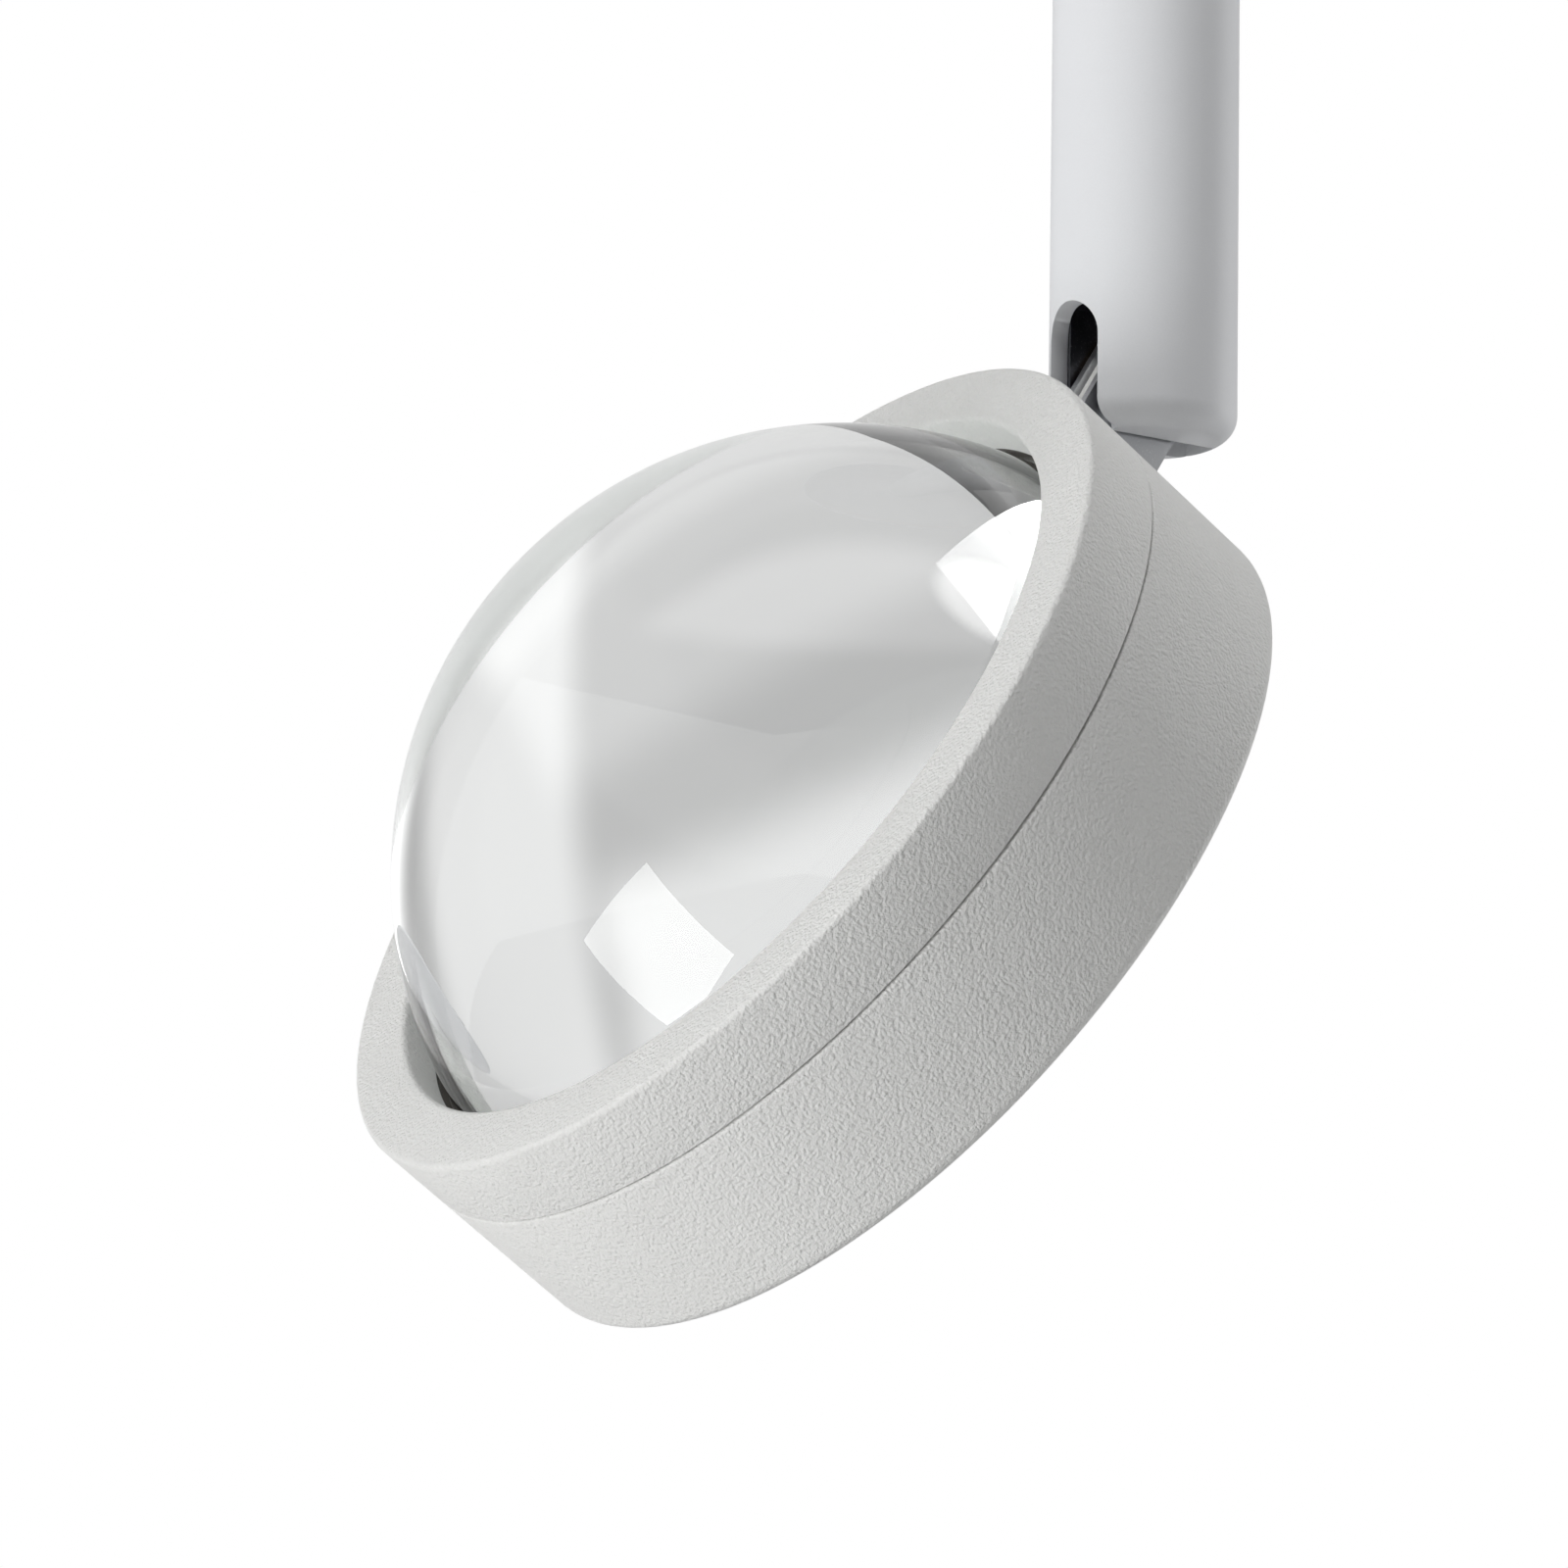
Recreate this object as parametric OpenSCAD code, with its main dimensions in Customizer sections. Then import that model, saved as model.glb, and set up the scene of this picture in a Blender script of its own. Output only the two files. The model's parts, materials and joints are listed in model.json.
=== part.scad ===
// Ceiling spotlight: a round head with a thick glass lens, tilting in the slotted end of a
// swivelling stem that hangs from a ceiling rose. Millimetres, +Z up. The origin is the
// middle of the ceiling plate's top face, and the stem hangs along -Z.

/* [Ceiling rose] */
// Outer diameter of the rose cover
rose_d = 90; // [86:1:120]
// Height of the rose cover, from the ceiling to its underside
rose_h = 24; // [23:1:40]
// Wall thickness of the rose cover
rose_wall = 1.5; // [1.2:0.1:2]
// Distance between the two ceiling screws
screw_spacing = 60; // [56:1:62]
// Diameter of the supply cable's entry hole
cable_entry_d = 12; // [8:1:14]

/* [Stem] */
// Length of the stem tube
stem_len = 140; // [90:5:400]
// Outer diameter of the stem tube
stem_d = 15.5; // [15.5:0.1:16.5]
// Wall thickness of the stem tube
stem_wall = 1.5; // [1.3:0.1:1.5]
// Rounding of the stem's lower end
stem_end_round = 2.3; // [1.5:0.1:2.4]
// Width of the slot in the front of the stem's lower end
slot_w = 6.4; // [6:0.1:6.8]
// Height of the slot above the stem's lower end
slot_h = 10.8; // [10.8:0.1:12]

/* [Hinge] */
// Height of the hinge pin above the stem's lower end
pin_above_end = 5.4; // [5.3:0.1:5.6]
// Diameter of the hinge pin
pin_d = 3; // [2.5:0.1:3.2]
// Thickness of the head's hinge tab
tab_t = 3.6; // [3.2:0.1:3.8]
// Width of the hinge tab, which is also its round end's diameter
tab_w = 8.8; // [8:0.1:8.8]
// Distance from the head's axis to the hinge pin
pin_off_axis = 53.4; // [52:0.1:58]
// Angle from straight up to the lens axis, as the lamp is stored
tilt_rest = 58; // [0:1:179]

/* [Head] */
// Outer diameter of the head
head_d = 80; // [80:0.5:84]
// Depth of the head, from its front face to its back
head_depth = 21.2; // [21.2:0.1:24]
// Depth of the front ring, which ends at the seam
ring_depth = 6.8; // [6.6:0.1:7]
// Gap at the seam between front ring and rear housing
seam_gap = 0.15; // [0.1:0.05:0.3]
// Radius of the ring's opening around the lens
opening_r = 34.4; // [34.2:0.1:34.6]

/* [Lens] */
// Radius of the dome's sphere
dome_r = 35.6; // [35:0.1:37]
// Height of the dome above the front face
dome_rise = 21; // [18:0.5:22]
// Radius of the lens's flange
flange_r = 36.2; // [36:0.1:36.3]

/* [Hidden] */
$fn = 96;
eps = 0.01;
fit_gap = 0.05;

// Rose and plate
rose_r = rose_d / 2;
rose_inner_r = rose_r - rose_wall;
rose_edge_round = 2;
ceiling_gap = 0.3;
plate_t = 1.5;
plate_r = rose_inner_r - 2.5;
screw_slot_w = 4.5;
screw_slot_len = 9;
lug_t = 2.5;
lug_w = 10;
lug_h = 10;
lug_foot_w = 16;
lug_foot_t = 1.2;
lug_hole_z = -8;
cover_screw_r = 1.5;
cover_hole_r = 1.7;
cover_head_r = 2.8;
cover_head_t = 1.6;
earth_pos = [-24, -24, 0];
earth_screw_r = 2;

// Driver and terminal block
driver_size = [44, 21, 14];
driver_y = 14.5;
driver_foot = [8, 5, 2];
block_size = [22, 13, 11];
block_y = -29;
block_poles = 3;

// Swivel
nipple_r = 5;
nipple_bore_r = 3;
nipple_top_z = -9;
swivel_washer_t = 1;
rose_floor_z = -rose_h + rose_wall;
stop_washer_t = 0.8;
stop_washer_r = 8.8;
stop_finger_r = 12.6;
stop_finger_w = 3;
stop_pin_r = 1.2;
stop_pin_off = 11;
stop_pin_h = 4;
spring_washer_t = 1.1;
spring_washer_r = 8.2;
nut_r = 8.1;
nut_t = 3.6;
lock_nut_t = 2.8;

// Stem
stem_r = stem_d / 2;
bore_r = stem_r - stem_wall;
insert_r = bore_r - fit_gap;
stem_top_z = -rose_h - swivel_washer_t - 2 * fit_gap;
stem_end_z = stem_top_z - stem_len;
pin_z = stem_end_z + pin_above_end;
lip_h = 1.7;
lip_r = 4.6;
plug_len = 18;

// Fork
fork_len = 28;
fork_slot_w = tab_t + 0.9;
fork_slot_above_pin = 5.6;
fork_lead_r = 2;
pin_r = pin_d / 2;
pin_len = 2 * insert_r - 0.4;
washer_t = 0.35;
washer_r = 4.2;
grub_r = 1.5;
grub_len = 3.2;
grub_above_pin = 13;

// Leads
lead_r = 1.8;
head_lead_r = 0.9;
channel_w = 2;
channel_depth = 2;

// Head, in its own frame: Z along the lens axis with the front face at 0, Y towards the hinge
head_r = head_d / 2;
edge_round = 0.5;
back_round = 1.2;
back_t = 1.2;
side_t = 2;
housing_inner_r = head_r - side_t;
inner_back_z = -head_depth + back_t;
lip_t = 3.6;
ring_bore_r = flange_r + 0.3;
skirt_r = housing_inner_r - 0.1;
skirt_end_z = -ring_depth - 4;
gasket_t = 0.6;
flange_top_z = -lip_t - gasket_t;
flange_t = 3;
lens_back_z = flange_top_z - flange_t;
dome_centre_z = dome_rise - dome_r;
dome_base_r = 33.9;
dome_base_z = dome_centre_z + sqrt(dome_r * dome_r - dome_base_r * dome_base_r);
seat_wall = 1.4;
seat_r = ring_bore_r - 0.1;
rear_gasket_t = 0.5;
rear_gasket_r = 32.2;
dish_top_z = lens_back_z - rear_gasket_t;
dish_t = 0.8;
dish_rim_r = 33.2;
dish_base_r = 13.4;
pin_depth = 15.6;
sink_r = 20;
sink_t = 3.3;
pad_t = 0.3;
board_r = 18;
board_t = 1.5;
emitter_size = 12;
emitter_t = 0.8;
sink_top_z = inner_back_z + 0.05 + sink_t;
board_top_z = sink_top_z + pad_t + board_t;
diffuser_t = 1.2;
diffuser_z = board_top_z + 2;
foot_w = 18;
foot_t = 2;
foot_from = 22.5;
foot_to = 33.6;
tab_screw_x = 6;
tab_screw_y = 28;
tab_screw_r = 1.25;
tab_screw_head_r = 2.4;
board_screw_r = 1;
board_screw_off = 16;
board_screw_head_r = 1.9;

// Colours
coarse_white = [0.86, 0.86, 0.84];
satin_white = [0.9, 0.91, 0.93];
steel = [0.62, 0.63, 0.65];
dark_steel = [0.2, 0.2, 0.22];
alu = [0.75, 0.76, 0.78];
clear_glass = [0.8, 0.9, 0.92, 0.4];
plain_white = [0.93, 0.93, 0.92];
brass_tone = [0.75, 0.6, 0.3];
lead_grey = [0.35, 0.36, 0.38];

// ---- Shared shapes ----

// A ring or washer standing on z = 0
module washer(outer_r, inner_r, thick) {
    difference() {
        cylinder(r = outer_r, h = thick);
        translate([0, 0, -1])
            cylinder(r = inner_r, h = thick + 2);
    }
}

// A hexagonal nut standing on z = 0, sized across its corners
module hex_nut(corner_r, hole_r, thick) {
    difference() {
        intersection() {
            cylinder(r = corner_r, h = thick, $fn = 6);
            cylinder(r1 = corner_r - 0.5, r2 = corner_r + thick, h = thick + eps);
        }
        translate([0, 0, -1])
            cylinder(r = hole_r, h = thick + 2);
    }
}

// A straight slot through a plate, along X
module plate_slot(width, length, thick) {
    reach = (length - width) / 2;
    for (side = [-1, 1])
        translate([side * reach, 0, -thick - 1])
            cylinder(r = width / 2, h = thick + 2);
    translate([-reach, -width / 2, -thick - 1])
        cube([2 * reach, width, thick + 2]);
}

// A cross recess, cut downwards from z = 0
module cross_recess(span, depth) {
    arm = span / 4;
    for (turn = [0, 90])
        rotate([0, 0, turn])
            translate([-span / 2, -arm / 2, -depth])
                cube([span, arm, depth + 1]);
}

// A round lead swept along a route that lies in one plane of constant X
module lead(route, radius, sides = 8) {
    count = len(route);
    function heading(i) =
        let (ahead = route[min(i + 1, count - 1)] - route[max(i - 1, 0)])
        ahead / norm(ahead);
    rings = [
        for (i = [0:count - 1])
            let (across = [1, 0, 0], over = cross(heading(i), across))
            for (k = [0:sides - 1])
                route[i] + radius * (cos(360 * k / sides) * across
                    + sin(360 * k / sides) * over)
    ];
    walls = [
        for (i = [0:count - 2])
            for (k = [0:sides - 1])
                let (next = (k + 1) % sides)
                [i * sides + k, i * sides + next, (i + 1) * sides + next, (i + 1) * sides + k]
    ];
    first_cap = [for (k = [0:sides - 1]) sides - 1 - k];
    last_cap = [for (k = [0:sides - 1]) (count - 1) * sides + k];
    polyhedron(points = rings, faces = concat(walls, [first_cap, last_cap]), convexity = 4);
}

// Points of a smooth curve through four hand-set corners
function smooth(a, b, c, d, steps) = [
    for (i = [0:steps])
        let (t = i / steps, s = 1 - t)
        s * s * s * a + 3 * s * s * t * b + 3 * s * t * t * c + t * t * t * d
];

// Moves a shape from the head's own frame to where the head hangs
module in_head() {
    translate([0, 0, pin_z])
        rotate([tilt_rest, 0, 0])
            translate([0, -pin_off_axis, pin_depth])
                children();
}

// ---- Ceiling rose, fixed to the ceiling ----

module ceiling_plate() {
    color(steel)
        difference() {
            translate([0, 0, -plate_t])
                cylinder(r = plate_r, h = plate_t);
            for (side = [-1, 1])
                translate([side * screw_spacing / 2, 0, 0])
                    plate_slot(screw_slot_w, screw_slot_len, plate_t);
            translate([0, 0, -plate_t - 1])
                cylinder(d = cable_entry_d, h = plate_t + 2);
            translate(earth_pos + [0, 0, -plate_t - 1])
                cylinder(r = earth_screw_r + fit_gap, h = plate_t + 2);
        }
}

module cover_lugs() {
    color(steel)
        for (side = [-1, 1])
            translate([side * (plate_r - lug_t / 2 - 0.6), 0, -plate_t])
                difference() {
                    union() {
                        translate([-lug_t / 2, -lug_w / 2, -lug_h])
                            cube([lug_t, lug_w, lug_h]);
                        // Foot, spot welded to the plate
                        translate([-lug_t / 2, -lug_foot_w / 2, -lug_foot_t])
                            cube([lug_t, lug_foot_w, lug_foot_t]);
                    }
                    translate([-lug_t, 0, lug_hole_z + plate_t])
                        rotate([0, 90, 0])
                            cylinder(r = cover_screw_r, h = 2 * lug_t);
                }
}

module rose_cover() {
    color(satin_white)
        difference() {
            rotate_extrude()
                difference() {
                    union() {
                        translate([0, -rose_h])
                            square([rose_r - rose_edge_round, rose_edge_round]);
                        intersection() {
                            translate([rose_r - rose_edge_round, -rose_h + rose_edge_round])
                                circle(r = rose_edge_round);
                            translate([0, -rose_h])
                                square([rose_r, rose_edge_round]);
                        }
                        translate([0, -rose_h + rose_edge_round])
                            square([rose_r, rose_h - rose_edge_round - ceiling_gap]);
                    }
                    translate([-1, rose_floor_z])
                        square([rose_inner_r + 1, rose_h]);
                }
            translate([0, 0, -rose_h - 1])
                cylinder(r = nipple_r + fit_gap, h = rose_wall + 2);
            translate([0, -stop_pin_off, -rose_h - 1])
                cylinder(r = stop_pin_r, h = rose_wall + 2);
            for (side = [-1, 1])
                translate([side * (rose_inner_r - 2), 0, lug_hole_z])
                    rotate([0, side * 90, 0])
                        cylinder(r = cover_hole_r, h = rose_wall + 4);
        }
}

module cover_screws() {
    reach = rose_r - (plate_r - lug_t - 1.2);
    color(steel)
        for (side = [-1, 1])
            translate([side * rose_r, 0, lug_hole_z])
                rotate([0, side * 90, 0])
                    difference() {
                        union() {
                            rotate_extrude() {
                                square([cover_head_r, cover_head_t / 2]);
                                square([cover_head_r * 0.8, cover_head_t]);
                            }
                            translate([0, 0, -reach])
                                cylinder(r = cover_screw_r, h = reach + eps);
                        }
                        translate([0, 0, cover_head_t])
                            cross_recess(2.4, 1);
                    }
}

module earth_screw() {
    color(brass_tone)
        translate(earth_pos)
            difference() {
                union() {
                    translate([0, 0, -plate_t - 3])
                        cylinder(r = earth_screw_r, h = plate_t + 3);
                    translate([0, 0, -plate_t - 1])
                        cylinder(r = 4.4, h = 1);
                    translate([0, 0, -plate_t - 3.4])
                        cylinder(r = 3.4, h = 2.4);
                }
                translate([0, 0, -plate_t - 3.4])
                    mirror([0, 0, 1])
                        cross_recess(3, 1.2);
            }
}

module led_driver() {
    floor_z = -plate_t - driver_size[2];
    color(plain_white)
        difference() {
            union() {
                translate([-driver_size[0] / 2, driver_y, floor_z])
                    cube(driver_size);
                for (side = [-1, 1])
                    translate([side * (driver_size[0] - driver_foot[0]) / 2, driver_y, -plate_t])
                        translate([-driver_foot[0] / 2, -driver_foot[1], -driver_foot[2]])
                            cube(driver_foot + [0, eps, 0]);
            }
            // Seam groove round the box, and the lid's label recess
            translate([-driver_size[0] / 2 - 1, driver_y - 0.5, floor_z + 4])
                difference() {
                    cube([driver_size[0] + 2, driver_size[1] + 1, 0.4]);
                    translate([1.4, 0.9, -1])
                        cube([driver_size[0] - 0.8, driver_size[1] - 0.8, 3]);
                }
            translate([-14, driver_y + 4, floor_z - 1])
                cube([28, driver_size[1] - 8, 1.3]);
        }
}

module terminal_block() {
    pitch = block_size[0] / block_poles;
    top_z = -plate_t;
    color(plain_white)
        difference() {
            translate([-block_size[0] / 2, block_y, top_z - block_size[2]])
                cube(block_size);
            for (pole = [0:block_poles - 1])
                translate([-block_size[0] / 2 + pitch * (pole + 0.5), 0, 0]) {
                    translate([0, block_y - 1, top_z - block_size[2] / 2])
                        rotate([-90, 0, 0])
                            cylinder(r = 1.7, h = block_size[1] + 2);
                    translate([0, block_y + block_size[1] / 2, top_z - block_size[2] - 1])
                        cylinder(r = 2.1, h = 3.5);
                }
        }
}

module terminal_screws() {
    pitch = block_size[0] / block_poles;
    color(brass_tone)
        for (pole = [0:block_poles - 1])
            translate([
                -block_size[0] / 2 + pitch * (pole + 0.5),
                block_y + block_size[1] / 2,
                -plate_t - block_size[2] + 0.5
            ])
                difference() {
                    cylinder(r = 2, h = 2);
                    translate([-2.5, -0.3, -1])
                        cube([5, 0.6, 1.7]);
                }
}

module supply_link_wires() {
    pitch = block_size[0] / block_poles;
    start_y = block_y + block_size[1] - 1.5;
    wire_z = -plate_t - block_size[2] / 2;
    color(lead_grey)
        for (side = [-1, 1])
            lead(
                smooth([side * pitch, start_y, wire_z], [side * pitch, 2, wire_z + 4],
                    [side * pitch, 6, -9], [side * pitch, driver_y - fit_gap, -9], 12),
                1.1
            );
}

module driver_output_lead() {
    color(plain_white)
        lead(
            concat(
                [[0, driver_y - fit_gap, -11]],
                smooth([0, driver_y - 1.5, -11], [0, 10.5, -11],
                    [0, 1, 2], [0, 0, nipple_top_z + 1.2], 12)
            ),
            lead_r
        );
}

module swivel_stop_pin() {
    color(steel)
        translate([0, -stop_pin_off, rose_floor_z - rose_wall + 0.2])
            cylinder(r = stop_pin_r, h = stop_pin_h + rose_wall - 0.2);
}

// ---- Stem, turning in the rose ----

module swivel_washer() {
    color(plain_white)
        translate([0, 0, -rose_h - swivel_washer_t - fit_gap])
            washer(stem_r - 0.4, nipple_r + fit_gap, swivel_washer_t);
}

module stop_washer() {
    color(steel)
        translate([0, 0, rose_floor_z + fit_gap])
            difference() {
                union() {
                    cylinder(r = stop_washer_r, h = stop_washer_t);
                    translate([-stop_finger_w / 2, 0, 0])
                        cube([stop_finger_w, stop_finger_r, stop_washer_t]);
                }
                translate([0, 0, -1])
                    cylinder(r = nipple_r + fit_gap, h = stop_washer_t + 2);
            }
}

module spring_washer() {
    color(dark_steel)
        translate([0, 0, rose_floor_z + fit_gap + stop_washer_t])
            difference() {
                washer(spring_washer_r, nipple_r + fit_gap, spring_washer_t);
                translate([-0.4, 0, -1])
                    cube([0.8, spring_washer_r + 1, spring_washer_t + 2]);
            }
}

module stem_nut() {
    color(steel)
        translate([0, 0, rose_floor_z + fit_gap + stop_washer_t + spring_washer_t])
            hex_nut(nut_r, nipple_r, nut_t);
}

module lock_nut() {
    color(steel)
        translate([0, 0, rose_floor_z + fit_gap + stop_washer_t + spring_washer_t + nut_t])
            rotate([0, 0, 20])
                hex_nut(nut_r, nipple_r + fit_gap, lock_nut_t);
}

module threaded_nipple() {
    color(brass_tone)
        difference() {
            union() {
                translate([0, 0, stem_top_z])
                    cylinder(r = nipple_r, h = nipple_top_z - stem_top_z);
                translate([0, 0, stem_top_z - plug_len])
                    cylinder(r = insert_r, h = plug_len);
            }
            translate([0, 0, stem_top_z - plug_len - 1])
                cylinder(r = nipple_bore_r, h = plug_len + nipple_top_z - stem_top_z + 2);
        }
}

module stem_tube() {
    color(satin_white)
        difference() {
            rotate_extrude()
                difference() {
                    union() {
                        translate([0, stem_end_z])
                            square([stem_r - stem_end_round, stem_end_round]);
                        intersection() {
                            translate([stem_r - stem_end_round, stem_end_z + stem_end_round])
                                circle(r = stem_end_round);
                            translate([0, stem_end_z])
                                square([stem_r, stem_end_round]);
                        }
                        translate([0, stem_end_z + stem_end_round])
                            square([stem_r, stem_len - stem_end_round]);
                    }
                    translate([-1, stem_end_z + lip_h])
                        square([bore_r + 1, stem_len]);
                    translate([-1, stem_end_z - 1])
                        square([lip_r + 1, stem_len]);
                }
            // The slot that the hinge tab swings in, through the front wall only
            translate([0, 0, stem_end_z + slot_h - slot_w / 2])
                rotate([90, 0, 0])
                    cylinder(d = slot_w, h = stem_d);
            translate([-slot_w / 2, -stem_d, stem_end_z - 1])
                cube([slot_w, stem_d, slot_h - slot_w / 2 + 1]);
            // Relief in the lip, so that the tab can swing a little past straight down
            translate([-slot_w / 2, -eps, stem_end_z - 1])
                cube([slot_w, bore_r, lip_h + 2]);
            // The fork's grub screw, at the back
            translate([0, 0, pin_z + grub_above_pin])
                rotate([-90, 0, 0])
                    cylinder(r = grub_r, h = stem_d);
        }
}

module stem_lead() {
    lower_z = pin_z + fork_slot_above_pin + 0.4;
    color(plain_white)
        translate([0, 0, lower_z])
            cylinder(r = lead_r, h = nipple_top_z + 0.8 - lower_z);
}

module hinge_fork() {
    low_z = stem_end_z + lip_h;
    color(dark_steel)
        difference() {
            translate([0, 0, low_z])
                cylinder(r = insert_r, h = fork_len);
            translate([-fork_slot_w / 2, -stem_d, low_z - 1])
                cube([fork_slot_w, 2 * stem_d, pin_z + fork_slot_above_pin - low_z + 1]);
            translate([0, 0, pin_z])
                rotate([0, 90, 0])
                    cylinder(r = pin_r, h = stem_d, center = true);
            translate([0, 0, low_z])
                cylinder(r = fork_lead_r, h = fork_len + 1);
            translate([0, 0, pin_z + grub_above_pin])
                rotate([-90, 0, 0])
                    cylinder(r = grub_r, h = stem_d);
        }
}

module fork_grub_screw() {
    color(dark_steel)
        translate([0, stem_r - 0.4, pin_z + grub_above_pin])
            rotate([90, 0, 0])
                difference() {
                    cylinder(r = grub_r, h = grub_len);
                    translate([0, 0, -1])
                        cylinder(r = 0.85, h = 2.2, $fn = 6);
                }
}

module hinge_pin() {
    color(steel)
        translate([0, 0, pin_z])
            rotate([0, 90, 0])
                cylinder(r = pin_r, h = pin_len, center = true);
}

module friction_washers() {
    color(brass_tone)
        for (side = [-1, 1])
            translate([side * (tab_t / 2 + fit_gap + washer_t / 2), 0, pin_z])
                rotate([0, 90, 0])
                    translate([0, 0, -washer_t / 2])
                        washer(washer_r, pin_r + fit_gap, washer_t);
}

// ---- Head, tilting on the hinge pin ----

module hinge_tab() {
    color(alu)
        in_head()
            difference() {
                union() {
                    translate([-tab_t / 2, pin_off_axis, -pin_depth])
                        rotate([0, 90, 0])
                            cylinder(d = tab_w, h = tab_t);
                    translate([-tab_t / 2, foot_from, -pin_depth - tab_w / 2])
                        cube([tab_t, pin_off_axis - foot_from, tab_w]);
                    translate([-foot_w / 2, foot_from, -pin_depth - tab_w / 2])
                        cube([foot_w, foot_to - foot_from, foot_t]);
                }
                translate([0, pin_off_axis, -pin_depth])
                    rotate([0, 90, 0])
                        cylinder(r = pin_r + fit_gap, h = 2 * tab_t, center = true);
                // Channel for the lead along the front edge
                translate([-channel_w / 2, foot_from - 1, -pin_depth + tab_w / 2 - channel_depth])
                    cube([channel_w, pin_off_axis + tab_w, channel_depth + 1]);
                // The inner stretch stays low, under the reflector dish
                translate([-tab_t, foot_from - 1, -pin_depth - 0.5])
                    cube([2 * tab_t, 32.5 - foot_from, tab_w]);
                for (side = [-1, 1])
                    translate([side * tab_screw_x, tab_screw_y, -head_depth])
                        cylinder(r = tab_screw_r, h = 6);
            }
}

module tab_screws() {
    head_h = back_t - 0.1;
    color(steel)
        in_head()
            for (side = [-1, 1])
                translate([side * tab_screw_x, tab_screw_y, -head_depth + 0.1])
                    difference() {
                        union() {
                            cylinder(r1 = tab_screw_head_r, r2 = tab_screw_r, h = head_h);
                            cylinder(r = tab_screw_r, h = head_h + foot_t);
                        }
                        mirror([0, 0, 1])
                            cross_recess(2.2, 0.8);
                    }
}

module rear_housing() {
    front_z = -ring_depth - seam_gap;
    color(coarse_white)
        in_head()
            difference() {
                rotate_extrude()
                    difference() {
                        union() {
                            translate([0, -head_depth])
                                square([head_r - back_round, back_round]);
                            intersection() {
                                translate([head_r - back_round, -head_depth + back_round])
                                    circle(r = back_round);
                                translate([0, -head_depth])
                                    square([head_r, back_round]);
                            }
                            translate([0, -head_depth + back_round])
                                square([head_r, head_depth - back_round + front_z]);
                        }
                        translate([-1, inner_back_z])
                            square([housing_inner_r + 1, head_depth]);
                    }
                // The opening that the hinge tab comes out of
                translate([-tab_t / 2 - fit_gap, 0, -pin_depth - tab_w / 2])
                    cube([tab_t + 2 * fit_gap, head_r + 1, tab_w + fit_gap]);
                for (side = [-1, 1])
                    translate([side * tab_screw_x, tab_screw_y, -head_depth - eps])
                        cylinder(r1 = tab_screw_head_r + 0.3, r2 = tab_screw_r + 0.1, h = back_t + 2 * eps);
            }
}

module front_ring() {
    color(coarse_white)
        in_head()
            rotate_extrude()
                union() {
                    translate([opening_r + edge_round, -lip_t])
                        square([head_r - opening_r - 2 * edge_round, lip_t]);
                    translate([opening_r, -lip_t])
                        square([head_r - opening_r, lip_t - edge_round]);
                    for (r = [opening_r + edge_round, head_r - edge_round])
                        translate([r, -edge_round])
                            circle(r = edge_round, $fn = 48);
                    translate([ring_bore_r, -ring_depth])
                        square([head_r - ring_bore_r, ring_depth - edge_round]);
                    translate([ring_bore_r, skirt_end_z])
                        square([skirt_r - ring_bore_r, -skirt_end_z - 1]);
                }
}

module lens_gasket() {
    color(lead_grey)
        in_head()
            translate([0, 0, -lip_t - gasket_t])
                washer(ring_bore_r - 0.1, opening_r + 0.3, gasket_t);
}

module lens() {
    color(clear_glass)
        in_head()
            rotate_extrude($fn = 180)
                union() {
                    intersection() {
                        translate([0, dome_centre_z])
                            circle(r = dome_r);
                        translate([0, dome_base_z])
                            square([dome_base_r, dome_rise]);
                    }
                    translate([0, lens_back_z])
                        square([dome_base_r, dome_base_z - lens_back_z + eps]);
                    translate([0, lens_back_z])
                        square([flange_r, flange_t]);
                }
}

module rear_gasket() {
    color(lead_grey)
        in_head()
            translate([0, 0, dish_top_z])
                washer(seat_r, rear_gasket_r, rear_gasket_t);
}

module reflector_dish() {
    rim_z = dish_top_z - dish_t;
    color(plain_white)
        in_head()
            rotate_extrude()
                union() {
                    polygon([
                        [dish_rim_r, dish_top_z], [dish_base_r, diffuser_z + diffuser_t],
                        [dish_base_r, diffuser_z + diffuser_t - dish_t], [dish_rim_r, rim_z]
                    ]);
                    translate([dish_rim_r - eps, rim_z])
                        square([seat_r - dish_rim_r, dish_t]);
                    translate([dish_base_r, board_top_z])
                        square([dish_t, diffuser_z + diffuser_t - board_top_z]);
                }
}

module lens_seat() {
    top_z = dish_top_z - dish_t;
    color(plain_white)
        in_head()
            difference() {
                translate([0, 0, inner_back_z])
                    washer(seat_r, seat_r - seat_wall, top_z - inner_back_z);
                // Gap that the hinge tab and its foot pass through
                translate([-tab_t / 2 - 0.4, 0, inner_back_z - 1])
                    cube([tab_t + 0.8, head_r, -pin_depth + tab_w / 2 - inner_back_z + 1.2]);
            }
}

module diffuser_disc() {
    color(plain_white)
        in_head()
            translate([0, 0, diffuser_z])
                cylinder(r = dish_base_r - 0.1, h = diffuser_t);
}

module heat_sink() {
    color(alu)
        in_head()
            difference() {
                translate([0, 0, sink_top_z - sink_t])
                    cylinder(r = sink_r, h = sink_t);
                // Grooves under the disc
                for (x = [-12:6:12])
                    translate([x - 1, -sink_r, sink_top_z - sink_t - 1])
                        cube([2, 2 * sink_r, 2.2]);
                for (turn = [90:120:330])
                    rotate([0, 0, turn])
                        translate([board_screw_off, 0, sink_top_z - 2.2])
                            cylinder(r = board_screw_r, h = 3);
            }
}

module thermal_pad() {
    color(lead_grey)
        in_head()
            translate([0, 0, sink_top_z])
                cylinder(r = board_screw_off - 2.5, h = pad_t);
}

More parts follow.
